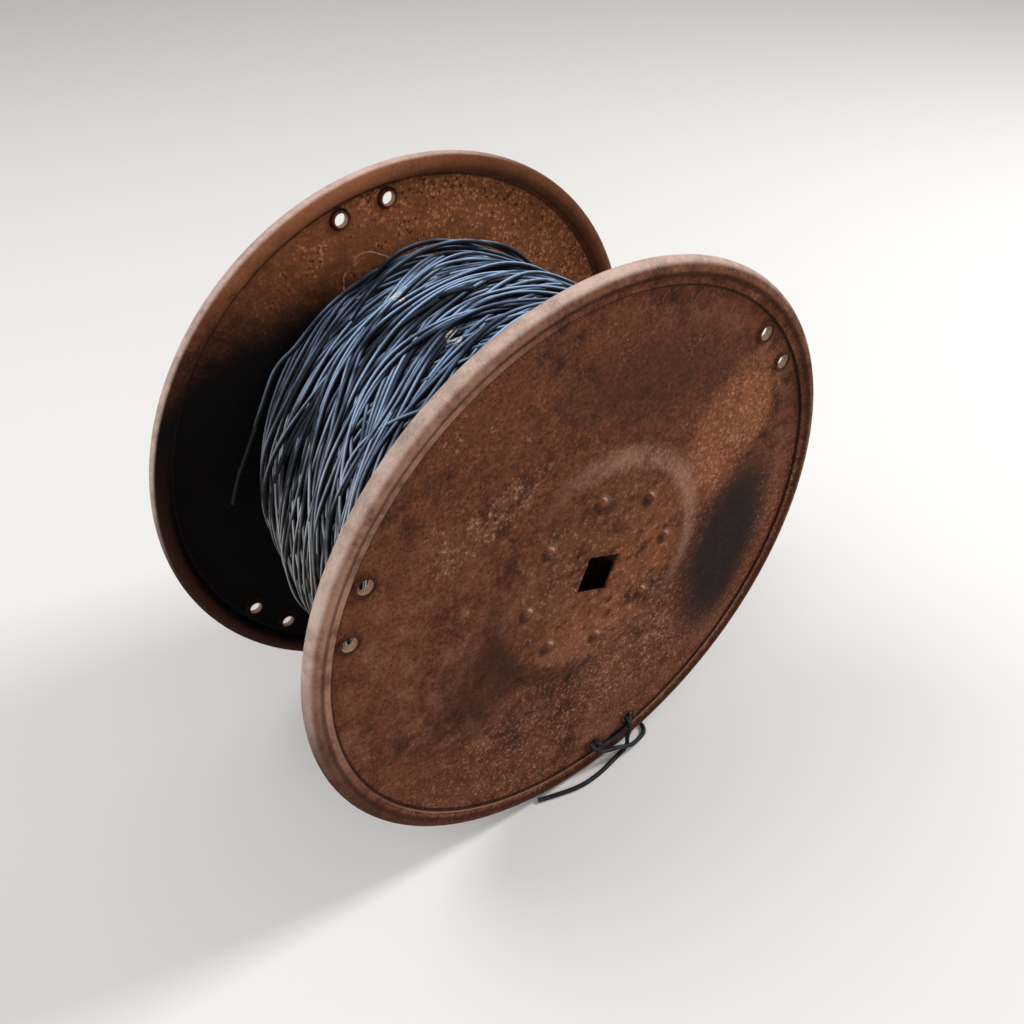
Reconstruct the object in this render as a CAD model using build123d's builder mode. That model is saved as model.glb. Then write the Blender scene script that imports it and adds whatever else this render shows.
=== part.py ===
from build123d import *
import os
from math import acos, atan, cos, degrees, pi, radians, sin, tan

# Pressed steel cable drum with its insulated wire, lying on both rims.
# Millimetres, floor at Z = 0, drum axis along Y, the front flange towards -Y.

# Flange pressing
flange_radius = 228.5
sheet = 1.6
rim_spacing = 222.8
bead_radius = 7.1
lip_reach = 2.7
lip_round = 3
lip_gap = 0.2
ridge_height = 3.4
ridge_round = 2.2
band_radius = 186
band_round = 900
foot_radius = 97
foot_height = 2.8
boss_radius = 85
boss_height = 5.2
boss_round = 24

# Axle way
axle_square = 30
square_round = 1.2
end_plate_margin = 4

# Tie holes: each has a raised ring round it and a collar turned inwards
tie_inset = 26.5
tie_groups = 3
tie_half_angle = 5.67
tie_hole_radius = 4.9
tie_ring_rise = 1.7
tie_ring_crest = 7.4
tie_ring_slope = 1.0
tie_ring_foot = 9.1
tie_ring_round = 0.85
tie_collar_round = 0.95
tie_collar_depth = 3.6

# Hub rivets
rivet_circle = 64
rivet_count = 8
rivet_head_radius = 5
rivet_head_height = 1.8
rivet_shank_radius = 2.6
rivet_gap = 0.1
rivet_set_radius = 4
rivet_set_height = 1.6

# How the drum had rolled when it came to rest: a flat of the axle square, seen from the front
roll_angle = 158.5

# Barrel
barrel_radius = 82
barrel_wall = 2.5
barrel_end = 3.4
barrel_corner = 4

# Winding
winding_edge_radius = 152
winding_crown = 12
winding_side_gap = 0.3
winding_bore_gap = 0.3

# Wire
wire_diameter = 3.8

half_rim = rim_spacing / 2
sheet_half = sheet / 2
bead_line = bead_radius - sheet_half
bead_centre = flange_radius - bead_radius
shoulder = bead_centre - bead_line
tie_circle = flange_radius - tie_inset
ridge = half_rim + ridge_height - sheet_half
foot = half_rim + foot_height - sheet_half
boss = half_rim + boss_height - sheet_half
boss_outside = boss + sheet_half
boss_inside = boss - sheet_half
lip = ridge + sheet + lip_gap
lip_turn = acos((lip - half_rim + lip_round) / (bead_line + lip_round))
disc_slope = atan((ridge - foot) / (band_radius - foot_radius))
sheet_along_disc = sheet_half / cos(disc_slope)
wire_radius = wire_diameter / 2


def disc_height(radius):
    """Height of the sheet's middle on the nearly flat disc between boss and rim band."""
    return foot + (radius - foot_radius) * tan(disc_slope)


# Eyelet of one tie hole: the sheet rises into a ring and turns down into a collar.
# The flange's outer face round it is the plane Z = 0.
tie_ring_top = tie_ring_rise - sheet_half
with BuildPart() as tie_eyelet:
    with BuildSketch(Plane.XZ):
        with BuildLine():
            FilletPolyline(
                (tie_ring_foot, -sheet_half),
                (tie_ring_crest + tie_ring_slope, -sheet_half),
                (tie_ring_crest, tie_ring_top),
                (tie_hole_radius + sheet_half, tie_ring_top),
                (tie_hole_radius + sheet_half, -tie_collar_depth),
                radius=[tie_ring_round, tie_ring_round, tie_collar_round],
            )
        trace(line_width=sheet)
    revolve(axis=Axis.Z)

# Flange: one sheet section turned about the axis, its outward side towards +Z.
# From the axle out: raised boss, nearly flat disc, rim band and a bead curled outwards,
# whose flat lip comes back over the band and ends on it in a small step.
with BuildPart() as flange:
    with BuildSketch(Plane.XZ):
        with BuildLine():
            FilletPolyline(
                (0, boss),
                (boss_radius, boss),
                (foot_radius, foot),
                (band_radius, ridge),
                (shoulder, ridge),
                (shoulder, half_rim),
                radius=[boss_round, boss_round, band_round, ridge_round],
            )
            curl = CenterArc((bead_centre, half_rim), bead_line, 180, 270 + degrees(lip_turn))
            landing = JernArc(curl @ 1, curl % 1, lip_round, -degrees(lip_turn))
            Line(landing @ 1, (shoulder - lip_reach, lip))
        trace(line_width=sheet)
    revolve(axis=Axis.Z)
    with BuildSketch(Plane.XY.offset(boss_outside)):
        RectangleRounded(axle_square, axle_square, square_round)
    extrude(amount=-2 * sheet, mode=Mode.SUBTRACT)
    with Locations((0, 0, boss)):
        with PolarLocations(rivet_circle, rivet_count, start_angle=180 / rivet_count):
            Cylinder(rivet_shank_radius + rivet_gap, 2 * sheet, mode=Mode.SUBTRACT)
    for side in (-1, 1):
        with PolarLocations(tie_circle, tie_groups, start_angle=side * tie_half_angle):
            with Locations((0, 0, ridge + sheet_half)):
                Cylinder(tie_ring_foot, 4 * sheet, mode=Mode.SUBTRACT)
                add(tie_eyelet.part)

# Both flanges are the same pressing, turned so that their axle squares are in line
flat_direction = Vector(cos(radians(roll_angle)), 0, sin(radians(roll_angle)))
drum_centre = Vector(0, 0, flange_radius)
near_plane = Plane(drum_centre, x_dir=flat_direction, z_dir=(0, -1, 0))
far_plane = Plane(drum_centre, x_dir=-flat_direction, z_dir=(0, 1, 0))
with BuildPart() as near_flange:
    with Locations(near_plane):
        add(flange.part)
with BuildPart() as far_flange:
    with Locations(far_plane):
        add(flange.part)

# Barrel: closed at both ends by plates that the flanges are riveted to
plate_square = axle_square + 2 * end_plate_margin
with BuildPart(near_plane) as barrel:
    Cylinder(barrel_radius, 2 * boss_inside)
    fillet(barrel.edges().filter_by(GeomType.CIRCLE), barrel_corner)
    Cylinder(barrel_radius - barrel_wall, 2 * (boss_inside - barrel_end), mode=Mode.SUBTRACT)
    with BuildSketch(near_plane):
        RectangleRounded(plate_square, plate_square, square_round)
    extrude(amount=boss_inside, both=True, mode=Mode.SUBTRACT)
    with PolarLocations(rivet_circle, rivet_count, start_angle=180 / rivet_count):
        Cylinder(rivet_shank_radius + rivet_gap, 3 * boss_inside, mode=Mode.SUBTRACT)

# One rivet, the flange's outer face in the plane Z = 0: low dome, shank, set end inside
rivet_grip = sheet + barrel_end
with BuildPart() as rivet:
    with BuildSketch(Plane.XZ):
        with BuildLine():
            dome = SagittaArc((rivet_head_radius, 0), (-rivet_head_radius, 0), -rivet_head_height)
            Line(dome @ 1, dome @ 0)
        make_face()
        split(bisect_by=Plane.YZ)
        with Locations((0, 0)):
            Rectangle(
                rivet_shank_radius,
                rivet_grip,
                align=(Align.MIN, Align.MAX),
            )
        with Locations((0, -rivet_grip)):
            Rectangle(
                rivet_set_radius,
                rivet_set_height,
                align=(Align.MIN, Align.MAX),
            )
    revolve(axis=Axis.Z)
with BuildPart() as hub_rivets:
    with Locations(near_plane, far_plane):
        with Locations((0, 0, boss_outside)):
            with PolarLocations(rivet_circle, rivet_count, start_angle=180 / rivet_count):
                add(rivet.part)

# Winding: fills the space between the flanges from the barrel up, fullest in the middle
winding_bore = barrel_radius + winding_bore_gap
winding_foot = foot - sheet_along_disc - winding_side_gap
winding_edge = disc_height(winding_edge_radius) - sheet_along_disc - winding_side_gap
with BuildPart() as wound_wire:
    with BuildSketch(Plane.XZ):
        with BuildLine():
            sides = Polyline(
                (winding_edge_radius, winding_edge),
                (foot_radius, winding_foot),
                (winding_bore, winding_foot),
                (winding_bore, -winding_foot),
                (foot_radius, -winding_foot),
                (winding_edge_radius, -winding_edge),
            )
            ThreePointArc(sides @ 1, (winding_edge_radius + winding_crown, 0), sides @ 0)
        make_face()
    revolve(axis=Axis.Z)
with BuildPart() as wire_winding:
    with Locations(near_plane):
        add(wound_wire.part)


def bend_radii(points):
    """Arc at each corner of a wire, as large as its two runs allow."""
    spots = [Vector(*point) for point in points]
    radii = []
    for before, corner, after in zip(spots, spots[1:], spots[2:]):
        half_turn = radians((corner - before).get_angle(after - corner)) / 2
        shorter = min((corner - before).length, (after - corner).length)
        radii.append(0.45 * shorter / tan(half_turn))
    return radii


# Inner end of the wire: from the winding through a tie hole, over the bead and along the floor
tail_points = [
    (36.2, -96, 76.4),
    (42.0, -96, 56.0),
    (47.2, -96, 33.2),
    (47.2, -124.4, 33.2),
    (42.9, -123.4, 18.5),
    (45.9, -122.6, 2.1),
    (26.8, -125.8, 2.0),
    (8.5, -128.9, 2.0),
    (-11.6, -129.2, 2.0),
    (-31.4, -123.9, 2.0),
    (-49.8, -117.6, 2.0),
]

# Lashing: out of one tie hole, into the next, under the rim and back over the bead
lashing_points = [
    (12.3, -96, 72.6),
    (12.9, -96, 50.0),
    (12.3, -96, 27.0),
    (12.3, -119.8, 27.0),
    (22.3, -119.2, 19.9),
    (33.0, -118.8, 21.4),
    (43.2, -119.2, 24.2),
    (51.9, -119.8, 31.6),
    (51.9, -96, 31.8),
    (54.0, -97, 14.0),
    (64.0, -101, 2.4),
    (73.0, -110.5, 2.0),
    (69.0, -121.0, 2.0),
    (57.0, -123.6, 2.3),
    (45.5, -127.8, 9.0),
    (33.0, -125.2, 14.0),
    (20.5, -122.2, 15.2),
    (8.0, -122.2, 24.0),
    (7.8, -109, 26.6),
]

# Outer end of the wire: leaves the last turn beside the far flange and hangs free
loose_points = [
    (-141.8, 104, 294.6),
    (-152.9, 104.6, 274.1),
    (-164.3, 104.2, 255.7),
    (-171.8, 103, 237.2),
]

with BuildPart() as wire_tail:
    with BuildLine() as tail_route:
        FilletPolyline(*tail_points, radius=bend_radii(tail_points))
    with BuildSketch(Plane(tail_route.line @ 0, z_dir=tail_route.line % 0)):
        Circle(wire_radius)
    sweep()
with BuildPart() as wire_lashing:
    with BuildLine() as lashing_route:
        FilletPolyline(*lashing_points, radius=bend_radii(lashing_points))
    with BuildSketch(Plane(lashing_route.line @ 0, z_dir=lashing_route.line % 0)):
        Circle(wire_radius)
    sweep()
with BuildPart() as wire_loose_end:
    with BuildLine() as loose_route:
        FilletPolyline(*loose_points, radius=bend_radii(loose_points))
    with BuildSketch(Plane(loose_route.line @ 0, z_dir=loose_route.line % 0)):
        Circle(wire_radius)
    sweep()

near_flange.part.label = "near_flange"
far_flange.part.label = "far_flange"
barrel.part.label = "barrel"
hub_rivets.part.label = "hub_rivets"
wire_winding.part.label = "wire_winding"
wire_tail.part.label = "wire_tail"
wire_lashing.part.label = "wire_lashing"
wire_loose_end.part.label = "wire_loose_end"

os.makedirs("parts", exist_ok=True)
export_step(near_flange.part, "parts/near_flange.step")
export_step(far_flange.part, "parts/far_flange.step")
export_step(barrel.part, "parts/barrel.step")
export_step(hub_rivets.part, "parts/hub_rivets.step")
export_step(wire_winding.part, "parts/wire_winding.step")
export_step(wire_tail.part, "parts/wire_tail.step")
export_step(wire_lashing.part, "parts/wire_lashing.step")
export_step(wire_loose_end.part, "parts/wire_loose_end.step")

wires = (
    ("tail", wire_tail, tail_route, tail_points),
    ("lashing", wire_lashing, lashing_route, lashing_points),
    ("loose end", wire_loose_end, loose_route, loose_points),
)
for name, wire, route, points in wires:
    length = sum(edge.length for edge in route.line.edges())
    share = wire.part.volume / (pi * wire_radius**2 * length)
    print(name, "length", round(length, 1), "volume / (section x length)", round(share, 4))
    print("  bend radii", [round(radius, 1) for radius in bend_radii(points)])
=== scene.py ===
from math import radians

import bpy
import numpy as np
from mathutils import Color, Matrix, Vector


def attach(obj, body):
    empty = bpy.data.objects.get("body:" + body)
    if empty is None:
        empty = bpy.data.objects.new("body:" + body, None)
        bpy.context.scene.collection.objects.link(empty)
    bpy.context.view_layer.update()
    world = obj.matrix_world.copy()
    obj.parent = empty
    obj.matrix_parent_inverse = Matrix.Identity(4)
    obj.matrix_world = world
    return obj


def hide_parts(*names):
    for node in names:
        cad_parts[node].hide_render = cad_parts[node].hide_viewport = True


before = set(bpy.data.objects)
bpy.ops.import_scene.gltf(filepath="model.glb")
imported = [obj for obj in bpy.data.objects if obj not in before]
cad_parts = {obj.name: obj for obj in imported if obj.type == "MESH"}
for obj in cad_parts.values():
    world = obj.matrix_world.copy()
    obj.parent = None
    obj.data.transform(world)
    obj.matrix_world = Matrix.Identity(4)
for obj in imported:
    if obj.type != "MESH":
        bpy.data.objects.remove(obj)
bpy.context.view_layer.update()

bl_info = {
    "name": "Cable drum",
    "version": (1, 0, 0),
    "blender": (4, 5, 0),
    "location": "3D View > Sidebar > Drum",
    "description": "Dresses the steel cable drum: rust, wound wire, loose ends, studio",
    "category": "Object",
}

# The drum's axis lies along Y at this height. Along it from the middle: a flange's outer and inner
# face, the middle of its bead, and the furthest place of a turn of wire
AXIS_HEIGHT = 0.2285
FACE = 0.1148
INNER_FACE = 0.1132
RIM_PLANE = 0.1114
HALF_WIDTH = 0.1108

# Radii on a flange: the boss's slope, a grey ring, the crease inside the bead, its lip, the valley
# beyond the lip
BOSS_SLOPE = 0.0925
GREY_RING = 0.1935
CREASE = 0.2118
LIP = 0.2131
VALLEY = 0.2188

# The winding's bore, and how many wires below its envelope its core lies
BORE = 0.0825
CORE_DEPTH = 2.1

# Rivets: their circle, the radius of a head and the angle of one of the eight
RIVET_CIRCLE = 0.064
RIVET_HEAD = 0.0050
RIVET_START = 1.0

# Tie holes: circle, half the angle of a pair, and the angle of one pair on each flange
TIE_CIRCLE = 0.202
TIE_HALF_ANGLE = 0.09896
TIE_START = {-1: 158.5, 1: -21.5}

# Routes of the three free wires, from where each leaves the winding
TAIL_ROUTE = [
    (0.0362, -0.0960, 0.0764),
    (0.0420, -0.0960, 0.0560),
    (0.0472, -0.0960, 0.0332),
    (0.0472, -0.1244, 0.0332),
    (0.0429, -0.1234, 0.0185),
    (0.0459, -0.1226, 0.0021),
    (0.0268, -0.1258, 0.0020),
    (0.0085, -0.1289, 0.0020),
    (-0.0116, -0.1292, 0.0020),
    (-0.0314, -0.1239, 0.0020),
    (-0.0498, -0.1176, 0.0020),
]
LASHING_ROUTE = [
    (0.0123, -0.0960, 0.0726),
    (0.0129, -0.0960, 0.0500),
    (0.0123, -0.0960, 0.0270),
    (0.0123, -0.1198, 0.0270),
    (0.0223, -0.1192, 0.0199),
    (0.0330, -0.1188, 0.0214),
    (0.0432, -0.1192, 0.0242),
    (0.0519, -0.1198, 0.0316),
    (0.0519, -0.0960, 0.0318),
    (0.0540, -0.0970, 0.0140),
    (0.0640, -0.1010, 0.0024),
    (0.0730, -0.1105, 0.0020),
    (0.0690, -0.1210, 0.0020),
    (0.0570, -0.1236, 0.0023),
    (0.0455, -0.1278, 0.0090),
    (0.0330, -0.1252, 0.0140),
    (0.0205, -0.1222, 0.0152),
    (0.0080, -0.1222, 0.0240),
    (0.0078, -0.1090, 0.0266),
]
LOOSE_ROUTE = [
    (-0.1418, 0.1040, 0.2946),
    (-0.1529, 0.1046, 0.2741),
    (-0.1643, 0.1042, 0.2557),
    (-0.1718, 0.1030, 0.2372),
]

# Where wires stand off the winding: angle in degrees, radius and distance along the axle
LAST_RUN = [
    (40, 0.160, 0.070),
    (80, 0.163, 0.098),
    (118, 0.157, 0.103),
    (131, 0.1535, 0.1045),
    (136, 0.1585, 0.104),
    (140, 0.1588, 0.104),
    (144, 0.1572, 0.104),
    (149, 0.1560, 0.104),
]
ARCHES = [
    [(114, 0.150, 0.101), (103, 0.157, 0.100), (98, 0.163, 0.100), (92, 0.167, 0.100),
     (84, 0.168, 0.099), (76, 0.165, 0.097), (68, 0.161, 0.095), (58, 0.156, 0.092)],
    [(112, 0.156, 0.086), (98, 0.164, 0.090), (88, 0.1665, 0.092), (79, 0.167, 0.092),
     (70, 0.1675, 0.092), (62, 0.168, 0.091), (54, 0.165, 0.089), (44, 0.158, 0.084)],
    [(118, 0.158, 0.072), (104, 0.167, 0.078), (92, 0.170, 0.083), (80, 0.170, 0.087),
     (68, 0.167, 0.091), (56, 0.163, 0.095), (42, 0.157, 0.099)],
]
STRAND = [
    (112, 0.158, 0.101),
    (110, 0.169, 0.102),
    (107, 0.175, 0.102),
    (104, 0.178, 0.102),
    (101, 0.175, 0.102),
    (98, 0.167, 0.102),
    (94, 0.158, 0.101),
]
CURL = [
    (91, 0.162, 0.024),
    (92, 0.169, 0.016),
    (94, 0.1735, 0.010),
    (97, 0.1745, 0.012),
    (99, 0.171, 0.020),
    (99, 0.165, 0.028),
    (97, 0.160, 0.034),
]

# The bare strand's diameter, and the loops' share of the wire's
STRAND_DIAMETER = 0.0013
LOOP_SHARE = 0.9

# How the winding's outside differs from an even barrel: angle, more at the edge, more crown
LAY = [
    (5, 0.002, 0.0),
    (45, 0.004, 0.0),
    (90, 0.005, 0.001),
    (135, 0.0, -0.002),
    (160, -0.006, 0.0),
    (180, -0.006, 0.003),
    (196, -0.003, 0.010),
    (210, -0.001, 0.013),
    (225, 0.0, 0.010),
    (250, 0.0, 0.002),
]

# The wire's wander: waves to a turn, their share of it, and turns over which they drift
WAVES = ((1, 1.0, 4.0), (2, 0.75, 3.0), (3, 0.5, 2.2), (4.37, 0.3, 1.6))

# Name of the map that holds how far along and around the wire a point lies
WRAP = "wire"

# Middles of the frayed patches
FRAYED = [(-0.0435, 0.052, 0.3900), (-0.0420, -0.010, 0.3840)]

# The camera: its place, the point it looks at and its lens in mm on a sensor of 36 mm
CAMERA_PLACE = (-0.3584, -0.4776, 0.7008)
CAMERA_TARGET = (0.0143, 0, 0.2019)
CAMERA_LENS = 34.453
CAMERA_SENSOR = 36

# Studio: the floor's radius and corners, the light from all round, and each lamp's name, place,
# size and power
FLOOR_RADIUS = 6
FLOOR_CORNERS = 96
WORLD_LIGHT = 0.40
LAMPS = [
    ("key", (2.1, -0.70, 2.0), 0.6, 50),
    ("top", (-1.1, 0.9, 2.3), 1.4, 28),
    ("fill", (-1.5, -2.2, 1.7), 2.2, 19),
]
LAMP_TARGET = (0, 0, 0.25)


class DrumSizes(bpy.types.PropertyGroup):
    """Sizes of the wound wire that a user may change."""

    wire: bpy.props.FloatProperty(
        name="Wire",
        description="Outer diameter of the insulated wire",
        default=0.0038,
        unit="LENGTH",
    )
    turns: bpy.props.IntProperty(
        name="Turns",
        description="Turns of wire that lie in the outer layers",
        default=165,
    )
    layer: bpy.props.IntProperty(
        name="Turns in a layer",
        description="Turns from one flange to the other",
        default=60,
    )
    wander: bpy.props.FloatProperty(
        name="Wander",
        description="How far a bundle of turns strays along the axle",
        default=0.015,
        unit="LENGTH",
    )
    edge: bpy.props.FloatProperty(
        name="Winding edge",
        description="Radius of the winding beside the flanges",
        default=0.152,
        unit="LENGTH",
    )
    crown: bpy.props.FloatProperty(
        name="Winding crown",
        description="How much fuller the winding is midway between the flanges",
        default=0.012,
        unit="LENGTH",
    )
    seed: bpy.props.IntProperty(
        name="Seed",
        description="Picks one of many ways the wire may have been wound",
        default=7,
    )


def colour(name, description, default):
    """One colour property."""
    return bpy.props.FloatVectorProperty(
        name=name, description=description, subtype="COLOR", size=3, default=default, min=0, max=1
    )


class DrumColours(bpy.types.PropertyGroup):
    """Colours of rust, wire and studio that a user may change."""

    rust: colour("Rust", "Plain rust of the discs", (0.172, 0.0530, 0.0240))
    # Darkest rust, also laid as painted shade in the rims' valley
    deep: colour("Deep rust", "Darkest rust", (0.030, 0.0095, 0.0055))
    # Fresh orange rust; on the far flange's upper inner face also painted light
    orange: colour("Orange rust", "Fresh rust", (0.330, 0.110, 0.042))
    # Painted highlights: pale specks where light falls on the far flange's inner face
    speck_glint: colour("Rust bloom", "Bright specks of new rust", (0.62, 0.240, 0.100))
    # Pale flakes and specks, and also the painted highlights on the rims, the boss's slope, the rivets
    # and the far bead
    pale: colour("Pale rust", "Dusty flakes and specks", (0.56, 0.310, 0.215))
    # Painted highlight along the top of each rim, partly wear
    worn_highlight: colour("Worn rust", "Rubbed, pale rims", (0.84, 0.61, 0.52))
    under: colour("Shaded rust", "Rust on the lower side of the rims", (0.068, 0.0195, 0.0105))
    # Near black: flecks and a dark patch, and also painted shade in the crease and on the lower-left
    # sides of the boss's slope and the rivets
    near_black_and_shade: colour("Soot", "Sooty smudge, creases and dark sides of rivets", (0.016, 0.010, 0.008))
    # Painted shadow: near black laid where the winding and the near flange shade the far flange's
    # inner face
    painted_shadow: colour("Grime", "Black of the far flange's inner face", (0.002, 0.001, 0.001))
    # Painted highlight: the collar inside each tie hole, where light comes through
    bright: colour("Bright steel", "Rubbed steel inside the tie holes", (0.68, 0.43, 0.29))
    # Also the painted highlight on the side of the boss's slope that faces the upper right
    dust_and_highlight: colour("Dust on rust", "Grey-brown dust on the boss and the disc", (0.290, 0.135, 0.090))
    wire: colour("Wire", "Black insulation", (0.0035, 0.0040, 0.0055))
    # Painted shade between the ribbed turns of the core
    gap: colour("Gap", "Black between the turns", (0.0008, 0.0008, 0.0010))
    # Blue-grey patches on the free wires; on the wound turns partly dusting, partly painted sheen
    # along their upper side
    dust_and_sheen: colour("Dust", "Blue-grey dust on the insulation", (0.070, 0.118, 0.220))
    # Grey band along the upper side of the lower turns: partly dusting, partly painted sheen
    ash_and_sheen: colour("Ash", "Grey dust on the lower turns", (0.135, 0.130, 0.128))
    sheen: colour("Sheen", "Blue line along the top of each upper turn", (0.52, 0.70, 1.0))
    gloss: colour("Gloss", "Grey line along the top of each lower turn", (0.62, 0.60, 0.58))
    frayed: colour("Frayed", "Frayed patches of the insulation", (0.72, 0.70, 0.66))
    copper: colour("Copper", "Bare strand of the conductor", (0.33, 0.14, 0.085))
    floor: colour("Floor", "Studio floor", (0.80, 0.79, 0.77))
    cloudy: colour("Cloudy floor", "Paler patches of the floor", (0.84, 0.83, 0.81))
    daylight: colour("Daylight", "Light from all round", (1.0, 0.99, 0.98))
    backdrop: colour("Backdrop", "What shows beyond the floor", (0.93, 0.92, 0.90))


def drum():
    """The two property groups of the scene."""
    scene = bpy.context.scene
    return scene.drum_sizes, scene.drum_colours


# Shader maths


class Sum:
    """One output in a material; arithmetic on it adds Math nodes."""

    def __init__(self, tree, socket):
        self.tree = tree
        self.socket = socket

    def math(self, operation, *values):
        return node(self.tree, "ShaderNodeMath", {"operation": operation}, dict(enumerate(values)))

    def __add__(self, other):
        return self.math("ADD", self, other)

    def __radd__(self, other):
        return self.math("ADD", other, self)

    def __sub__(self, other):
        return self.math("SUBTRACT", self, other)

    def __rsub__(self, other):
        return self.math("SUBTRACT", other, self)

    def __mul__(self, other):
        return self.math("MULTIPLY", self, other)

    def __truediv__(self, other):
        return self.math("DIVIDE", self, other)

    def __pow__(self, other):
        return self.math("POWER", self, other)

    def __abs__(self):
        return self.math("ABSOLUTE", self)

    def largest(self, other):
        return self.math("MAXIMUM", self, other)

    def smallest(self, other):
        return self.math("MINIMUM", self, other)

    def rise(self, low, high):
        """0 below low, 1 above high, smooth between; falls instead where low is above high."""
        if low > high:
            return 1 - self.rise(high, low)
        settings = {"interpolation_type": "SMOOTHSTEP"}
        return node(self.tree, "ShaderNodeMapRange", settings, {0: self, 1: low, 2: high})


def node(tree, kind, settings=None, values=None, out=0):
    """Adds one node: its settings first, then its sockets' values or links; gives an output."""
    made = tree.nodes.new(kind)
    for name, value in (settings or {}).items():
        setattr(made, name, value)
    for place, value in (values or {}).items():
        socket = made.inputs[place]
        if isinstance(value, Sum):
            tree.links.new(value.socket, socket)
        elif isinstance(value, Color):
            socket.default_value = (*value, 1)
        else:
            socket.default_value = value
    return Sum(tree, made.outputs[out])


def mix(tree, below, above, share):
    """Colour below, with as much of colour above as share says. A Mix node has sockets for
    numbers, vectors and colours: 6 and 7 are its two colours, and output 2 is their mix."""
    return node(tree, "ShaderNodeMix", {"data_type": "RGBA"}, {0: share, 6: below, 7: above}, out=2)


def noise(tree, place, scale, detail, roughness=0.55, distortion=0.0):
    """Smooth noise of that scale at a place, about 0.5 on average."""
    values = {"Vector": place, "Scale": scale, "Detail": detail}
    values |= {"Roughness": roughness, "Distortion": distortion}
    return node(tree, "ShaderNodeTexNoise", {}, values)


def spots(tree, place, scale):
    """Distance to the nearest of many scattered points."""
    return node(tree, "ShaderNodeTexVoronoi", {"feature": "F1"}, {"Vector": place, "Scale": scale})


def here(tree):
    """A point's place on the object."""
    return node(tree, "ShaderNodeTexCoord", out="Object")


def split(tree, vector, axes):
    """Some of a vector's coordinates, by their letters."""
    return [node(tree, "ShaderNodeSeparateXYZ", {}, {0: vector}, out=axis) for axis in axes]


def blob(x, z, centre, size, turn):
    """1 in the middle of a turned ellipse on a flange, 0 at its edge and beyond."""
    c, s = np.cos(radians(turn)), np.sin(radians(turn))
    along = ((x - centre[0]) * c + (z - centre[1]) * s) / size[0]
    across = ((z - centre[1]) * c - (x - centre[0]) * s) / size[1]
    return (1 - (along * along + across * across) ** 0.5).largest(0)


def material(name, build):
    """A new material; build(tree, colours) gives the shader's varying inputs, and its fixed ones."""
    made = bpy.data.materials.new(name)
    made.use_nodes = True
    tree = made.node_tree
    shader = tree.nodes["Principled BSDF"]
    linked, fixed = build(tree, drum()[1])
    for socket, value in linked.items():
        tree.links.new(value.socket, shader.inputs[socket])
    for socket, value in fixed.items():
        shader.inputs[socket].default_value = value
    return made


def bumped(tree, height, distance, strength):
    """A normal that follows a height."""
    values = {"Height": height, "Distance": distance, "Strength": strength}
    return node(tree, "ShaderNodeBump", {}, values)


def tie_hole_distance(x, z, radius, start):
    """Distance to the nearest tie hole's centre, the flange's three pairs folded into one hole."""
    angle = x.math("ARCTAN2", z, x)
    pair = angle.math("WRAP", angle - radians(start), radians(60), radians(-60))
    aside = (abs(pair) - TIE_HALF_ANGLE) * radius
    return (aside * aside + (radius - TIE_CIRCLE) ** 2) ** 0.5


def nearest_rivet(x, rise):
    """How far to the right of and above the nearest rivet's centre a point of a flange is."""
    step = radians(45)
    angle = x.math("ARCTAN2", rise, x)
    turn = x.math("ROUND", (angle - radians(RIVET_START)) / step) * step + radians(RIVET_START)
    return x - turn.math("COSINE", turn) * RIVET_CIRCLE, rise - turn.math("SINE", turn) * RIVET_CIRCLE


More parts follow.
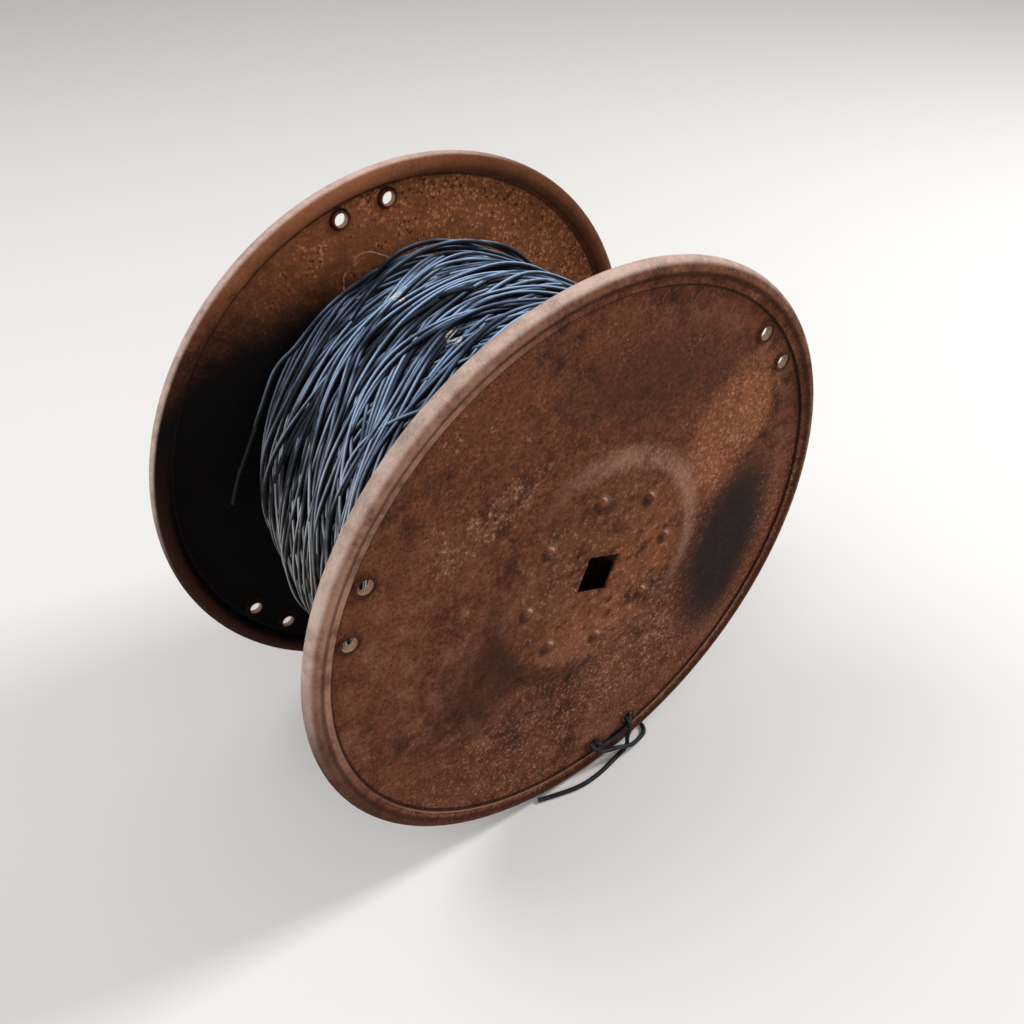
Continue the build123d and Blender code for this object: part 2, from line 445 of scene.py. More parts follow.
def near_face(tree, tints, tint, x, rise, radius, broad, cloud, middle, fine, flakes):
    """The near flange's own patches: orange at the upper right, a dark patch at the right, the hub
    with painted light and shade on its boss's slope.
    """
    z = rise + AXIS_HEIGHT
    patch = blob(x, z, (0.128, 0.300), (0.085, 0.050), 55) * 1.5
    patch = (patch + cloud * 1.4 - 0.75).rise(0.05, 0.75)
    clumps = (middle * 0.7 + fine * 0.3).rise(0.47, 0.57)
    fresh = (middle * 0.4 + fine * 0.6).rise(0.41, 0.54)
    tint = mix(tree, tint, tints.orange, patch * (fresh * 0.6 + 0.40))
    tint = mix(tree, tint, tints.pale, patch * flakes * (clumps * 0.5 + 0.5))
    upper_streak = blob(x, z, (-0.088, 0.324), (0.070, 0.022), 24)
    lower_streak = blob(x, z, (0.045, 0.105), (0.060, 0.035), 20)
    streak = ((upper_streak + lower_streak) * 1.6 + cloud * 1.5 - 0.95).rise(0.0, 0.5)
    tint = mix(tree, tint, tints.pale, streak * clumps * (flakes * 0.65 + 0.10))
    inner = radius.rise(0.092, 0.060)
    tint = mix(tree, tint, tints.orange, inner * (middle * 0.6 + cloud * 0.4).rise(0.40, 0.56) * 0.60)
    below_hub = (rise * 0.7 - x * 0.7 + cloud * 0.1).rise(0.02, 0.09)
    tint = mix(tree, tint, tints.deep, inner * below_hub * 0.40)
    low = (x * 0.4 - rise + (cloud - 0.5) * 0.10).rise(0.020, 0.090)
    tint = mix(tree, tint, tints.pale, (low * 0.42 + inner * 0.38) * flakes * (0.35 + clumps))
    lower_left = (0.04 - x * 0.5 - rise * 0.7 + (broad - 0.5) * 0.3).rise(0.0, 0.12)
    dusted = (cloud * 0.5 + middle * 0.5).rise(0.50, 0.60)
    tint = mix(tree, tint, tints.dust_and_highlight, lower_left * dusted * 0.38)
    # Painted light on the boss's slope: a painted highlight, partly dusting, on the side that faces
    # the upper right, and painted shade on the side that faces the lower left
    facing = (x * 0.75 + rise * 0.66) / BOSS_SLOPE
    slope = 1 - abs(radius - BOSS_SLOPE).rise(0.001, 0.013)
    bare = (cloud * 0.4 + middle * 0.3 + fine * 0.3).rise(0.38, 0.60)
    tint = mix(tree, tint, tints.dust_and_highlight, slope * facing.rise(-0.10, 0.85) * (0.38 + bare * 0.45))
    tint = mix(tree, tint, tints.pale, slope * facing.rise(0.20, 0.95) * (bare * 0.25 + flakes * 0.45))
    tint = mix(tree, tint, tints.near_black_and_shade, slope * facing.rise(-0.30, -0.95) * 0.40)
    grey = (1 - abs(radius - GREY_RING).rise(0.0, 0.013)) * (x * 0.9 + rise * 0.5).rise(0.10, 0.17)
    tint = mix(tree, tint, tints.dust_and_highlight, grey * middle.rise(0.40, 0.60) * 0.22)
    # A dark patch to the right of the hub
    dark_patch = blob(x, z, (0.142, 0.176), (0.054, 0.106), -12) * 1.7
    wide = blob(x, z, (0.130, 0.178), (0.090, 0.135), -12) * 0.5
    dark_patch = (dark_patch + wide + (cloud - 0.5) * 1.5 + (middle - 0.5) * 0.8).rise(0.15, 1.30)
    tint = mix(tree, tint, tints.near_black_and_shade, dark_patch * 0.92)
    left = blob(x, z, (-0.103, 0.177), (0.055, 0.070), -20)
    tint = mix(tree, tint, tints.deep, (left + (cloud - 0.5)).rise(0.05, 0.70) * 0.55)
    top = blob(x, z, (0.045, 0.372), (0.120, 0.050), -12)
    return mix(tree, tint, tints.deep, (top + (cloud - 0.5)).rise(0.05, 0.80) * 0.45)


def far_face(tree, tints, tint, place, x, rise, radius, out, cloud, middle, fine):
    """The far flange's inner face: pitted rust with painted light above, painted shadow below."""
    inside = out.rise(INNER_FACE + 0.0009, INNER_FACE + 0.0003)
    disc = radius.rise(0.2145, 0.2110)
    # Painted light as well as rust: orange laid on the upper part of the inner face, where light falls
    lit = (x * 0.45 + rise + (cloud - 0.5) * 0.10).rise(0.050, 0.165)
    fresh = (cloud * 0.5 + middle * 0.5).rise(0.36, 0.60)
    tint = mix(tree, tint, tints.orange, inside * lit * (0.50 + fresh * 0.45))
    dense = (cloud * 0.6 + middle * 0.4 + rise * 0.5 + x * 0.3).rise(0.50, 0.62) * disc
    crowded = (fine * 0.5 + middle * 0.5).rise(0.45, 0.55)
    warts = (1 - spots(tree, place, 280.0)).rise(0.50, 0.68) * dense * crowded
    tint = mix(tree, tint, tints.deep, inside * warts * 0.85)
    # Painted highlights: pale specks only where light falls
    glints = (1 - spots(tree, place, 300.0)).rise(0.50, 0.62) * dense * fine.rise(0.46, 0.54)
    tint = mix(tree, tint, tints.speck_glint, inside * lit * glints)
    bead = inside * (1 - disc)
    # Painted highlight on the left of the bead, where light falls
    tint = mix(tree, tint, tints.pale, bead * lit * x.rise(0.06, -0.06) * 0.08)
    tint = mix(tree, tint, tints.deep, bead * x.rise(-0.02, 0.08) * 0.50)
    # Painted shadow: the inner face turns near black towards its lower left and towards the winding
    shadow_edge = x * 0.5 + rise + (radius - 0.2) * 1.2 + (cloud - 0.5) * 0.06
    return mix(tree, tint, tints.painted_shadow, inside * shadow_edge.rise(0.125, 0.015))


def round_rivets(tree, tints, tint, x, rise):
    """A dark ring round each rivet's head, with painted shade at its lower left and a painted
    highlight at its upper right.
    """
    across, above = nearest_rivet(x, rise)
    off = (across * across + above * above) ** 0.5
    facing = (across * 0.75 + above * 0.66) / (off + 0.0001)
    ring = off.rise(0.0085, 0.0055)
    # Painted highlight at the ring's upper right, painted shade at its lower left
    tint = mix(tree, tint, tints.pale, ring * facing.rise(0.10, 0.90) * 0.45)
    return mix(tree, tint, tints.near_black_and_shade, ring * (0.30 + facing.rise(0.20, -0.80) * 0.35))


def round_rim(tree, tints, tint, place, x, rise, radius, out, side, cloud, middle, fine):
    """The bead and its lip: painted highlights above, partly wear, painted shade below, and painted
    shade in the valley and the crease.
    """
    near = side < 0
    lip = radius.rise(0.2126, 0.2132) * out.rise(FACE + 0.0004, FACE + 0.0010)
    roll = radius.rise(0.2190, 0.2225) * out.rise(RIM_PLANE - 0.004, RIM_PLANE + 0.004)
    brim = radius.rise(0.2243, 0.2274) if near else radius.rise(0.2264, 0.2282)
    skyward = rise.rise(-0.06, 0.08) * (x.rise(0.20, 0.10) if near else x.rise(0.15, 0.0))
    blotches = (cloud * 0.5 + middle * 0.5).rise(0.38, 0.58)
    high = rise.rise(-0.12, 0.03)
    # Painted light: the lip and the bead are paler on their upper and left sides, where light falls
    tint = mix(tree, tint, tints.pale, lip * (0.22 + blotches * 0.45) * x.rise(0.0, -0.15) * high)
    tint = mix(tree, tint, tints.pale, roll * (0.05 + blotches * 0.12) * high * (1 if near else 0.5))
    shade = (rise * 0.8 + x * 0.2).rise(0.03, -0.08) * radius.rise(0.2150, 0.2210)
    tint = mix(tree, tint, tints.under, shade * 0.66)
    # Painted highlight: a thin pale line along the lip's lower edge
    edge = (1 - abs(radius - LIP).rise(0.0003, 0.0010)) * rise.rise(-0.07, -0.18)
    tint = mix(tree, tint, tints.pale, edge * out.rise(FACE + 0.0006, FACE + 0.0012) * 0.75)
    # Painted highlight along the top of the rim, partly wear
    tint = mix(tree, tint, tints.worn_highlight, brim * skyward * (0.62 + blotches * 0.38))
    flecks = (1 - spots(tree, place, 90.0)).rise(0.78, 0.93) * fine.rise(0.45, 0.58)
    tint = mix(tree, tint, tints.near_black_and_shade, (roll + brim).smallest(1) * flecks * 0.5)
    # Painted shade: darker in the valley beyond the lip and near black in the crease
    valley = 1 - abs(radius - VALLEY).rise(0.0006, 0.0028)
    tint = mix(tree, tint, tints.deep, valley * lip * 0.65)
    crease = 1 - abs(radius - CREASE).rise(0.0004, 0.0018)
    return mix(tree, tint, tints.near_black_and_shade, crease * (1 - lip) * 0.75)


def rust_finish(side):
    """Build function of a flange's rust; side is -1 for the near flange and 1 for the far one."""

    def build(tree, tints):
        place = here(tree)
        x, y, z = split(tree, place, "XYZ")
        rise = z - AXIS_HEIGHT
        radius = (x * x + rise * rise) ** 0.5
        out = y * side
        broad = noise(tree, place, 9.0, 3.0, 0.6, 0.6)
        cloud = noise(tree, place, 24.0, 5.0, 0.7, 0.4)
        middle = noise(tree, place, 85.0, 5.0, 0.75)
        fine = noise(tree, place, 330.0, 4.0, 0.75)
        grain = noise(tree, place, 800.0, 3.0, 0.8)
        specks = fine * 0.65 + grain * 0.35
        plain = (broad * 0.3 + cloud * 0.3 + middle * 0.4).rise(0.36, 0.54)
        tint = mix(tree, tints.deep, tints.rust, plain)
        tint = mix(tree, tint, tints.orange, (middle * 0.4 + fine * 0.6).rise(0.50, 0.60) * 0.22)
        tint = mix(tree, tint, tints.deep, specks.rise(0.475, 0.425) * 0.60)
        flakes = specks.rise(0.54, 0.585)
        clusters = (cloud * 0.6 + middle * 0.4).rise(0.53, 0.62)
        tint = mix(tree, tint, tints.pale, flakes * (clusters * 0.50 + 0.09))
        if side < 0:
            tint = near_face(tree, tints, tint, x, rise, radius, broad, cloud, middle, fine, flakes)
        else:
            tint = far_face(tree, tints, tint, place, x, rise, radius, out, cloud, middle, fine)
        tint = round_rivets(tree, tints, tint, x, rise)
        hole = tie_hole_distance(x, rise, radius, TIE_START[side])
        tint = mix(tree, tint, tints.deep, hole.rise(0.0098, 0.0072) * 0.70)
        # Painted highlight on the collar inside the hole
        collar = hole.rise(0.0054, 0.0050)
        tint = mix(tree, tint, tints.bright, collar * (0.35 + middle * 0.6).smallest(1))
        tint = round_rim(tree, tints, tint, place, x, rise, radius, out, side, cloud, middle, fine)
        height = cloud * 0.8 + middle * 0.9 + fine * 1.2 + grain * 0.9
        normal = bumped(tree, height, 0.0026, 0.85)
        linked = {"Base Color": tint, "Roughness": 0.66 + fine * 0.3, "Normal": normal}
        return linked, {"Metallic": 0.0, "Specular IOR Level": 0.09}

    return build


def plain_rust(tree, tints):
    """Rust of the barrel and the rivets, whose heads get painted shade at their lower left and a
    painted highlight at their upper right.
    """
    place = here(tree)
    x, z = split(tree, place, "XZ")
    broad = noise(tree, place, 30.0, 4.0, 0.6)
    fine = noise(tree, place, 400.0, 4.0, 0.75)
    tint = mix(tree, tints.deep, tints.rust, (broad * 0.5 + fine * 0.5).rise(0.40, 0.58))
    tint = mix(tree, tint, tints.orange, fine.rise(0.50, 0.66) * 0.45)
    across, above = nearest_rivet(x, z - AXIS_HEIGHT)
    facing = (across * 0.75 + above * 0.66) / RIVET_HEAD
    # Painted shade on each head's lower left and a painted highlight on its upper right
    tint = mix(tree, tint, tints.near_black_and_shade, facing.rise(0.30, -0.70) * 0.65)
    tint = mix(tree, tint, tints.pale, facing.rise(0.45, 0.95) * 0.75)
    return {
        "Base Color": tint,
        "Roughness": 0.66 + fine * 0.3,
        "Normal": bumped(tree, fine, 0.0012, 0.7),
    }, {"Specular IOR Level": 0.16}


def wire_finish(tree, tints):
    """Black insulation: along the side that faces up and out, a band that is partly dusting and
    partly painted sheen, and a painted highlight line, which fade in and out along the wire; and two
    frayed patches."""
    place = here(tree)
    x, y, z = split(tree, place, "XYZ")
    along, around = split(tree, node(tree, "ShaderNodeUVMap", {"uv_map": WRAP}), "XY")
    patchy = noise(tree, place, 26.0, 3.0, 0.6)
    fine = noise(tree, place, 500.0, 3.0, 0.7)
    slow = noise(tree, along, 5.0, 2.0, 0.6)
    fading = patchy * 0.3 + slow * 0.7
    on_top = (z + x * 0.3).rise(AXIS_HEIGHT - 0.08, AXIS_HEIGHT + 0.14)
    # Painted sheen, partly dusting: a band and a line along the side that faces up and out, blue above
    # and grey below
    crest = abs(around - 0.5).rise(0.18, 0.06)
    dust_and_sheen = mix(tree, tints.ash_and_sheen, tints.dust_and_sheen, on_top)
    tint = mix(tree, tints.wire, dust_and_sheen, crest * (fading.rise(0.40, 0.58) * 0.85 + 0.12))
    line = abs(around - 0.5).rise(0.095, 0.020) * fading.rise(0.42, 0.58)
    sheen = mix(tree, tints.gloss, tints.sheen, on_top)
    tint = mix(tree, tint, sheen, line * (0.42 + fine * 0.6).smallest(1))
    for spot in FRAYED:
        right, back, up = (value - at for value, at in zip((x, y, z), spot))
        away = (right * right + back * back * 0.3 + up * up) ** 0.5
        bare = away.rise(0.0070, 0.0040) * fine.rise(0.42, 0.54) * crest
        tint = mix(tree, tint, tints.frayed, bare * 0.85)
    return {
        "Base Color": tint,
        "Roughness": 0.40 + fine * 0.3,
        "Normal": bumped(tree, fine, 0.0003, 0.4),
    }, {"Specular IOR Level": 0.14}


def strand_finish(tree, tints):
    """Bare copper strand, dulled."""
    fine = noise(tree, here(tree), 300.0, 3.0, 0.6)
    tint = mix(tree, tints.deep, tints.copper, fine.rise(0.35, 0.60))
    return {"Base Color": tint, "Roughness": 0.45 + fine * 0.2}, {"Specular IOR Level": 0.3}


def cord_finish(tree, tints):
    """Black insulation of the free ends, dusty in patches."""
    place = here(tree)
    patchy = noise(tree, place, 90.0, 3.0, 0.6)
    fine = noise(tree, place, 600.0, 3.0, 0.6)
    tint = mix(tree, tints.wire, tints.dust_and_sheen, patchy.rise(0.5, 0.75) * 0.20)
    return {
        "Base Color": tint,
        "Roughness": 0.38 + fine * 0.25,
        "Normal": bumped(tree, fine, 0.0003, 0.4),
    }, {"Specular IOR Level": 0.22}


def core_finish(tree, tints):
    """What shows between the outer turns: black, ribbed like the turns below, with painted shade
    between the ribs and in patches.
    """
    place = here(tree)
    broad = noise(tree, place, 40.0, 3.0, 0.6)
    wave = {"bands_direction": "Y", "wave_profile": "SIN"}
    values = {"Vector": place, "Scale": 83.0, "Distortion": 4.0, "Detail": 1.0, "Detail Scale": 0.4}
    ribs = node(tree, "ShaderNodeTexWave", wave, values, out="Fac")
    return {
        # Painted shade: near black between the ribs
        "Base Color": mix(tree, tints.gap, tints.wire, ribs * broad),
        "Roughness": 0.9 + broad * 0.1,
        "Normal": bumped(tree, ribs, 0.0015, 0.8),
    }, {"Specular IOR Level": 0.05}


def floor_finish(tree, tints):
    """Pale floor with faint patches."""
    soft = noise(tree, here(tree), 3.0, 2.0)
    return {"Base Color": mix(tree, tints.floor, tints.cloudy, soft * 0.4)}, {"Roughness": 0.9}


# Surfaces


def mesh_object(name, points, faces, wrap, finish):
    """A smooth mesh object at the origin; wrap gives each point's place along and around the wire."""
    mesh = bpy.data.meshes.new(name)
    mesh.from_pydata(points, [], faces)
    mesh.polygons.foreach_set("use_smooth", np.ones(len(mesh.polygons), bool))
    if wrap is not None:
        corners = np.empty(len(mesh.loops), int)
        mesh.loops.foreach_get("vertex_index", corners)
        layer = mesh.uv_layers.new(name=WRAP)
        layer.data.foreach_set("uv", wrap[corners].ravel())
    mesh.materials.append(finish)
    mesh.validate()
    made = bpy.data.objects.new(name, mesh)
    bpy.context.scene.collection.objects.link(made)
    return made


def joined(tubes):
    """Points, faces and wraps of several tubes as those of one mesh."""
    points, faces, wraps = zip(*tubes)
    before = np.cumsum([0, *map(len, points)]).tolist()
    moved = [[spot + first for spot in face] for first, part in zip(before, faces) for face in part]
    return np.concatenate(points), moved, np.concatenate(wraps)


def grid(rows, columns):
    """Quads between the points of a grid whose columns close round, as rows of four indices."""
    row = np.arange(rows - 1)[:, None] * columns
    column = np.arange(columns)
    after = (column + 1) % columns
    return np.stack(
        [row + column, row + after, row + columns + after, row + columns + column], axis=-1
    ).reshape(-1, 4)


def around_axle(angle, radius, along):
    """Points at an angle and radius about the drum's axis and a distance along it."""
    angle, radius, along = np.broadcast_arrays(angle, radius, along)
    return np.stack([radius * np.cos(angle), along, AXIS_HEIGHT + radius * np.sin(angle)], axis=-1)


def tube(path, thick, sides=8):
    """Points, faces and wrap of a wire: at each station of the path, its point plus half the
    thickness times (cos a * up + sin a * side), where side is square to the path and to a
    direction between away from the axle and straight up, and up is square to both. Both ends
    are closed."""
    ahead = np.gradient(path, axis=0)
    ahead /= np.linalg.norm(ahead, axis=1, keepdims=True)
    away = path - [0, 0, AXIS_HEIGHT]
    away[:, 1] = 0
    away /= np.linalg.norm(away, axis=1, keepdims=True)
    away[:, 2] += 0.75
    side = np.cross(ahead, away)
    side /= np.linalg.norm(side, axis=1, keepdims=True)
    up = np.cross(side, ahead)
    turn = (np.arange(sides) / sides - 0.5) * 2 * np.pi
    ring = up[:, None] * np.cos(turn)[:, None] + side[:, None] * np.sin(turn)[:, None]
    points = (path[:, None] + ring * thick / 2).reshape(-1, 3)
    length = np.r_[0, np.cumsum(np.linalg.norm(np.diff(path, axis=0), axis=1))]
    wrap = np.stack(np.broadcast_arrays(length[:, None], np.arange(sides) / sides), axis=-1)
    faces = grid(len(path), sides)[:, ::-1].tolist()
    last = (len(path) - 1) * sides
    faces += [list(range(sides)), list(range(last, last + sides))[::-1]]
    return points, faces, wrap.reshape(-1, 2)


def smooth(values, width):
    """Mean of values over a window that fades to both sides as a bell curve."""
    reach = int(3 * width)
    bell = np.exp(-0.5 * (np.arange(-reach, reach + 1) / width) ** 2)
    padded = np.pad(values, reach, mode="edge")
    return np.convolve(padded, bell / bell.sum(), mode="valid")


def smooth_round(values, width, lap=24):
    """As smooth, for values whose end meets their start: the window reaches over the seam."""
    return smooth(np.r_[values[-lap:], values, values[:lap]], width)[lap:-lap]


def wandering(sizes, stations, rng):
    """How far along the axle each turn would lie if nothing lay under it.

    The wire sweeps from flange to flange and back, one sweep a layer, plus a wander: waves of
    one to four to a turn whose strength drifts slowly from turn to turn, so that neighbouring
    turns run side by side and then part, plus small kinks, and a few wide strays that cross
    many turns.
    """
    sweep, kink, stray = 0.1, 0.0014, 0.020
    every = 12  # stations from one random number to the next
    count = sizes.turns * stations
    turn = np.arange(count) / stations
    along = sweep * (np.abs((turn / sizes.layer + 0.35) % 2 - 1) * 2 - 1)
    for wave, share, drift in WAVES:
        for phase in (0, np.pi / 2):
            strength = smooth(rng.normal(size=count // every + 1), drift * stations / every)
            strength /= strength.std()
            strength = np.interp(np.arange(count), np.arange(len(strength)) * every, strength)
            along += sizes.wander * share * strength * np.sin(2 * np.pi * wave * turn + phase)
    own = smooth(rng.normal(size=count), stations * 0.05)
    along += kink * own / own.std()
    for centre in rng.uniform(0, sizes.turns, sizes.turns // 7):
        reach = rng.uniform(0.14, 0.30)
        along += rng.normal() * stray * np.exp(-0.5 * ((turn - centre) / reach) ** 2)
    return along.reshape(sizes.turns, stations)


def envelope(sizes, along, angle):
    """Radius of the winding's outside: edge + more edge + (crown + more crown) * (1 - (along /
    half width)^2), where the two that add to it change with the angle round the axle."""
    turn, edge, crown = np.array(LAY).T
    angle = np.degrees(angle)
    more = [np.interp(angle, turn, line, period=360) for line in (edge, crown)]
    return sizes.edge + more[0] + (sizes.crown + more[1]) * (1 - (along / HALF_WIDTH) ** 2)


def laid(wanted, sizes):
    """Distance along the axle and height of each turn, laid one after another.

    The wire is guided towards lower places near where it would lie: of many shifts it takes
    the mean, each weighted by exp(-height / ease) and by its nearness. Then it rests on the
    turns already wound at the same angle: its height is the largest of (their height +
    sqrt(wire^2 - distance^2)). A turn that is guided past a flange is turned back by as much.
    """
    farthest, near, ease = 0.030, 0.018, 0.0010
    looked_back = 110  # turns that are felt for while a turn is guided
    turns, stations = wanted.shape
    station = np.arange(stations)
    shifts = np.linspace(-farthest, farthest, 31)[:, None]
    along = np.zeros_like(wanted)
    height = np.zeros_like(wanted)

    def resting(tried, first, last):
        """Height at which a turn at the tried places rests on those from first to last."""
        rest = np.zeros_like(tried)
        for before in range(first, last):
            apart = np.abs(tried - along[before])
            touch = np.sqrt(np.clip(sizes.wire**2 - apart**2, 0, None))
            rest = np.maximum(rest, np.where(apart < sizes.wire, height[before] + touch, 0))
        return rest

    end = 0.0
    for now in range(turns):
        tried = wanted[now] + shifts
        beyond = np.clip(np.abs(tried) - HALF_WIDTH, 0, None)
        tried = tried - 2 * np.sign(tried) * beyond
        rest = resting(tried, max(0, now - looked_back), now)
        weight = np.exp(-rest / ease - 0.5 * (shifts / near) ** 2)
        lie = smooth_round((weight * tried).sum(axis=0) / weight.sum(axis=0), 5.0)
        if now:
            lie += (end - lie[0]) * np.exp(-station / (0.14 * stations))
        along[now] = np.clip(lie, -HALF_WIDTH, HALF_WIDTH)
        end = 2 * along[now, -1] - along[now, -2]
        height[now] = resting(along[now], 0, now)
    return along, height


def levelled(along, height, sizes):
    """Heights with the large lumps pressed down to the winding's envelope.

    The top of the pile is taken as the largest height in each small patch of angle and
    distance, spread and averaged over neighbouring patches. Each height loses that top. What
    stands above it is pressed to above / (1 + above / 2 mm), and what lies below it is raised
    to below / (1 + below / 9 mm), as if the pile were packed tighter. Then it gains the
    envelope, less half a wire.
    """
    press, pack = 0.002, 0.009
    patches = 90
    stations = along.shape[1]
    patch = (along / HALF_WIDTH * 0.499 + 0.5) * patches
    top = np.zeros((stations, patches))
    column = np.broadcast_to(np.arange(stations), along.shape)
    np.maximum.at(top, (column.ravel(), patch.astype(int).ravel()), height.ravel())
    beside = np.pad(top, ((0, 0), (1, 1)), mode="edge")
    top = np.maximum(top, np.maximum(beside[:, 2:], beside[:, :-2]))
    top = np.maximum(top, np.maximum(np.roll(top, 1, 0), np.roll(top, -1, 0)))
    top = np.apply_along_axis(smooth, 1, top, 3.5)
    top = np.apply_along_axis(smooth_round, 0, top, 6.0)
    low = np.clip(patch - 0.5, 0, patches - 1.001)
    first = low.astype(int)
    share = low - first
    top = top[column, first] * (1 - share) + top[column, first + 1] * share
    above = np.clip(height - top, 0, None)
    below = np.clip(top - height, 0, None)
    relief = above / (1 + above / press) - below / (1 + below / pack)
    angle = 2 * np.pi * np.arange(stations) / stations
    return relief + envelope(sizes, along, angle) - sizes.wire / 2


def eased(knots, stations):
    """A smooth line by some knots, each an angle in degrees, a radius and a distance along the
    axle: straight pieces from knot to knot, averaged over about half the knots' spacing."""
    knots = np.array(knots, float) * [np.pi / 180, 1, 1]
    place = np.linspace(0, len(knots) - 1, stations)
    width = 0.3 * stations / len(knots)
    return [smooth(np.interp(place, np.arange(len(knots)), line), width) for line in knots.T]


def wound_path(sizes, stations=132):
    """Angle, radius and distance along the axle of the outer turns, as one long line, eased
    along the wire. The last of it runs beside the far flange to where the loose end starts; its
    ends are doubled to be eased, and the stations that then lie on one spot are left out."""
    rng = np.random.default_rng(sizes.seed)
    along, height = laid(wandering(sizes, stations, rng), sizes)
    radius = levelled(along, height, sizes).ravel()
    radius = smooth(np.maximum(smooth(radius, 2.0), smooth(radius, 4.5)), 1.5)
    along = smooth(along.ravel(), 1.5)
    angle = 2 * np.pi * np.arange(along.size) / stations
    x, y, z = LOOSE_ROUTE[0]
    end = (np.degrees(np.arctan2(z - AXIS_HEIGHT, x)), np.hypot(x, z - AXIS_HEIGHT), y)
    start = (-360 / stations, radius[-1], along[-1])
    last = np.array(eased([start, start, *LAST_RUN, end, end], 90))[:, 9:-4]
    last[0] += 2 * np.pi * sizes.turns
    return [np.r_[line, more] for line, more in zip((angle, radius, along), last)]


# Operators


def aimed(made, place, target):
    """Puts a camera or a lamp in its place, turned to its target."""
    made.location = place
    made.rotation_euler = (Vector(target) - made.location).to_track_quat("-Z", "Y").to_euler()
    return made


class DRUM_OT_camera(bpy.types.Operator):
    """Put the camera where the drum was seen from"""

    bl_idname = "drum.camera"
    bl_label = "Camera"

    def execute(self, context):
        data = bpy.data.cameras.new("camera")
        data.sensor_width = CAMERA_SENSOR
        data.lens = CAMERA_LENS
        camera = bpy.data.objects.new("camera", data)
        context.scene.collection.objects.link(camera)
        aimed(camera, CAMERA_PLACE, CAMERA_TARGET)
        context.scene.camera = camera
        return {"FINISHED"}


def cord_curve(name, route, diameter, finish):
    """A wire as one smooth open spline through its route's space."""
    data = bpy.data.curves.new(name, "CURVE")
    data.dimensions = "3D"
    data.bevel_depth = diameter / 2
    data.bevel_resolution = 4
    data.use_fill_caps = True
    data.resolution_u = 12
    spline = data.splines.new("NURBS")
    spline.points.add(len(route) - 1)
    spline.points.foreach_set("co", np.c_[np.array(route), np.ones(len(route))].ravel())
    spline.order_u = 3
    spline.use_endpoint_u = True
    data.materials.append(finish)
    made = bpy.data.objects.new(name, data)
    bpy.context.scene.collection.objects.link(made)
    return made


class DRUM_OT_free_wires(bpy.types.Operator):
    """Lay the wire's tail, its lashing and its loose outer end"""

    bl_idname = "drum.free_wires"
    bl_label = "Free wires"

    def execute(self, context):
        sizes = drum()[0]
        finish = material("wire ends", cord_finish)
        wires = (
            ("tail", TAIL_ROUTE, "wire_tail", 0.1908, "bare", "loose"),
            ("lashing", LASHING_ROUTE, "wire_lashing", 0.2581, "object", "loose"),
            ("loose_end", LOOSE_ROUTE, "wire_loose_end", 0.0649, "bare", "hanging"),
        )
        for name, route, solid, length, end, lay in wires:
            wire = cord_curve(name, route, sizes.wire, finish)
            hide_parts(solid)
            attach(wire, "root")
        return {"FINISHED"}


class DRUM_OT_flanges(bpy.types.Operator):
    """Rust both flanges"""

    bl_idname = "drum.flanges"
    bl_label = "Flanges"

    def execute(self, context):
        for name, side in (("near_flange", -1), ("far_flange", 1)):
            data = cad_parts[name].data
            data.materials.clear()
            data.materials.append(material(name + " rust", rust_finish(side)))
        return {"FINISHED"}


class DRUM_OT_hub(bpy.types.Operator):
    """Rust the barrel and the rivets"""

    bl_idname = "drum.hub"
    bl_label = "Hub"

    def execute(self, context):
        finish = material("hub rust", plain_rust)
        for name in ("barrel", "hub_rivets"):
            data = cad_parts[name].data
            data.materials.clear()
            data.materials.append(finish)
        return {"FINISHED"}


class DRUM_OT_winding(bpy.types.Operator):
    """Wind the wire on: a dark core of the turns below, and the outer turns one by one"""

    bl_idname = "drum.winding"
    bl_label = "Winding"

    def execute(self, context):
        sizes = drum()[0]
        finish = material("wire", wire_finish)
        angle, radius, along = wound_path(sizes)
        if not np.isfinite(radius).all():
            raise RuntimeError("the turns could not be laid")
        path = around_axle(angle, radius, along)
        pieces = []
        for number, part in enumerate(np.array_split(np.arange(len(path)), 3), start=1):
            stretch = path[part[0] : part[-1] + 2]  # up to the first station of the next
            pieces.append(mesh_object(f"wire_layer_{number}", *tube(stretch, sizes.wire), finish))
        thick = sizes.wire * LOOP_SHARE
        loops = [tube(around_axle(*eased(knots, 60)), thick) for knots in (*ARCHES, CURL)]
        strand = tube(around_axle(*eased(STRAND, 40)), STRAND_DIAMETER)
        pieces += [
            mesh_object("wire_loops", *joined(loops), finish),
            mesh_object("wire_strand", *strand, material("strand", strand_finish)),
            self.core(sizes),
        ]
        for piece in pieces:
            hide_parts("wire_winding")
            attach(piece, "root")
        return {"FINISHED"}

    def core(self, sizes):
        """The turns below: at each angle a line from the bore out along one side, across at some
        wires below the envelope, and back to the bore along the other side."""
        angle = np.linspace(0, 2 * np.pi, 128, endpoint=False)[:, None]
        across = np.r_[-1, np.linspace(-1, 1, 25), 1] * HALF_WIDTH
        radius = envelope(sizes, across, angle) - CORE_DEPTH * sizes.wire
        radius[:, [0, -1]] = BORE
        points = around_axle(angle, radius, across).reshape(-1, 3)
        faces = (grid(len(angle) + 1, len(across)) % len(points)).tolist()
        return mesh_object("wire_core", points, faces, None, material("core", core_finish))


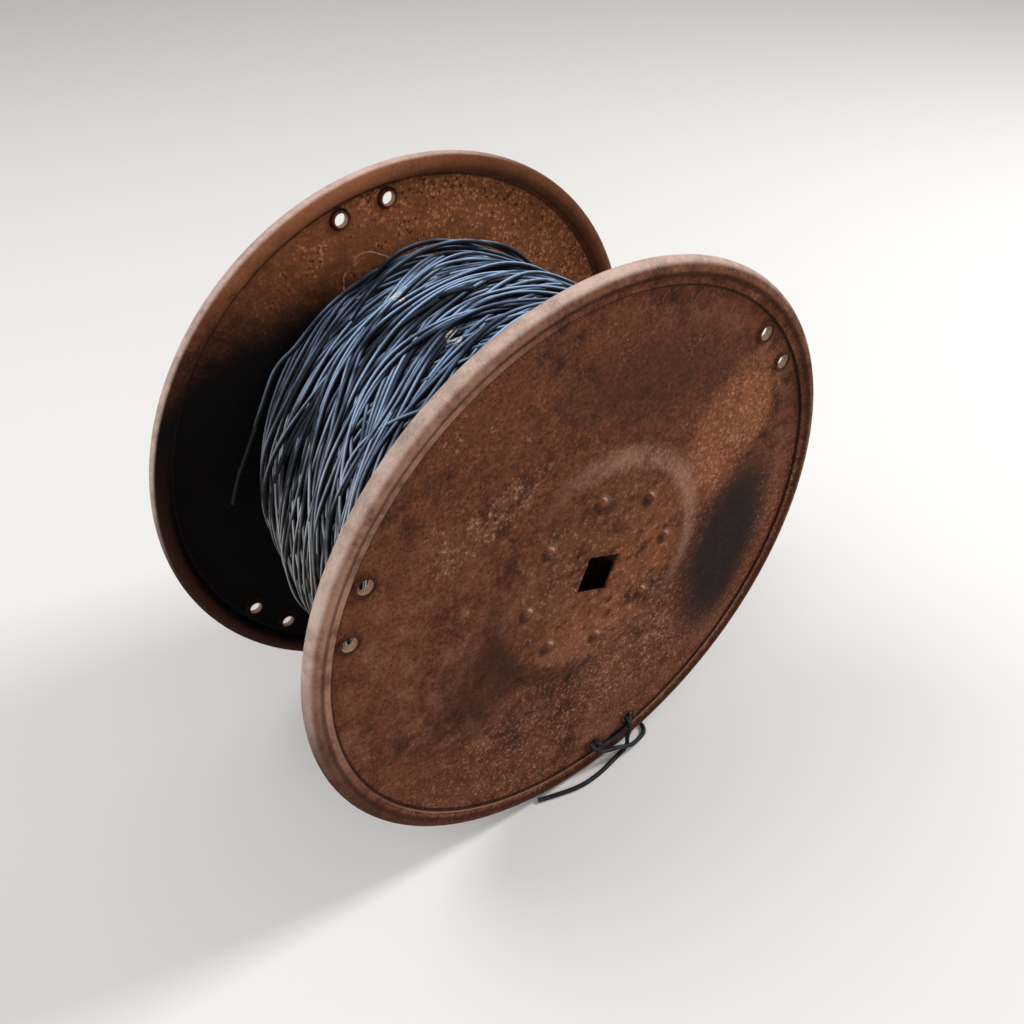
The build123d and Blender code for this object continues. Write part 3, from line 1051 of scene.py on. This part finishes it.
class DRUM_OT_stage(bpy.types.Operator):
    """Set the drum in a plain studio"""

    bl_idname = "drum.stage"
    bl_label = "Stage"

    def execute(self, context):
        tints = drum()[1]
        scene = context.scene
        scene.view_settings.view_transform = "Standard"
        angle = np.linspace(0, 2 * np.pi, FLOOR_CORNERS, endpoint=False)
        points = np.stack([np.cos(angle), np.sin(angle), np.zeros_like(angle)], axis=-1) * FLOOR_RADIUS
        face = list(range(FLOOR_CORNERS))
        floor = mesh_object("floor", points, [face], None, material("floor", floor_finish))
        world = bpy.data.worlds.new("studio")
        scene.world = world
        world.use_nodes = True
        tree = world.node_tree
        tree.nodes.clear()
        path = tree.nodes.new("ShaderNodeLightPath")
        seen = Sum(tree, path.outputs["Is Camera Ray"])
        for ray in ("Is Glossy Ray", "Is Transmission Ray"):
            seen = seen.largest(Sum(tree, path.outputs[ray]))
        light = node(tree, "ShaderNodeBackground", {}, {0: tints.daylight, 1: WORLD_LIGHT})
        backdrop = node(tree, "ShaderNodeBackground", {}, {0: tints.backdrop, 1: 1.0})
        both = node(tree, "ShaderNodeMixShader", {}, {0: seen, 1: light, 2: backdrop})
        tree.links.new(both.socket, tree.nodes.new("ShaderNodeOutputWorld").inputs[0])
        lamps = [self.lamp(*lamp) for lamp in LAMPS]
        return {"FINISHED"}

    def lamp(self, name, place, size, power):
        """A soft square lamp that faces the drum."""
        data = bpy.data.lights.new(name, "AREA")
        data.size = size
        data.energy = power
        made = bpy.data.objects.new(name, data)
        bpy.context.scene.collection.objects.link(made)
        return aimed(made, place, LAMP_TARGET)


STEPS = (
    DRUM_OT_camera,
    DRUM_OT_free_wires,
    DRUM_OT_flanges,
    DRUM_OT_hub,
    DRUM_OT_winding,
    DRUM_OT_stage,
)


class DRUM_PT_panel(bpy.types.Panel):
    """Lists the drum's settings and steps"""

    bl_idname = "DRUM_PT_panel"
    bl_label = "Cable drum"
    bl_space_type = "VIEW_3D"
    bl_region_type = "UI"
    bl_category = "Drum"

    def draw(self, context):
        for group in drum():
            for name in group.__annotations__:
                self.layout.prop(group, name)
        for step in STEPS:
            self.layout.operator(step.bl_idname)


CLASSES = (DrumSizes, DrumColours, *STEPS, DRUM_PT_panel)


def register():
    for kind in CLASSES:
        bpy.utils.register_class(kind)
    bpy.types.Scene.drum_sizes = bpy.props.PointerProperty(type=DrumSizes)
    bpy.types.Scene.drum_colours = bpy.props.PointerProperty(type=DrumColours)


def unregister():
    del bpy.types.Scene.drum_colours
    del bpy.types.Scene.drum_sizes
    for kind in reversed(CLASSES):
        bpy.utils.unregister_class(kind)


def main():
    """Dresses the drum step by step."""
    register()
    for step in STEPS:
        group, name = step.bl_idname.split(".")
        getattr(getattr(bpy.ops, group), name)()


if __name__ == "__main__":
    main()
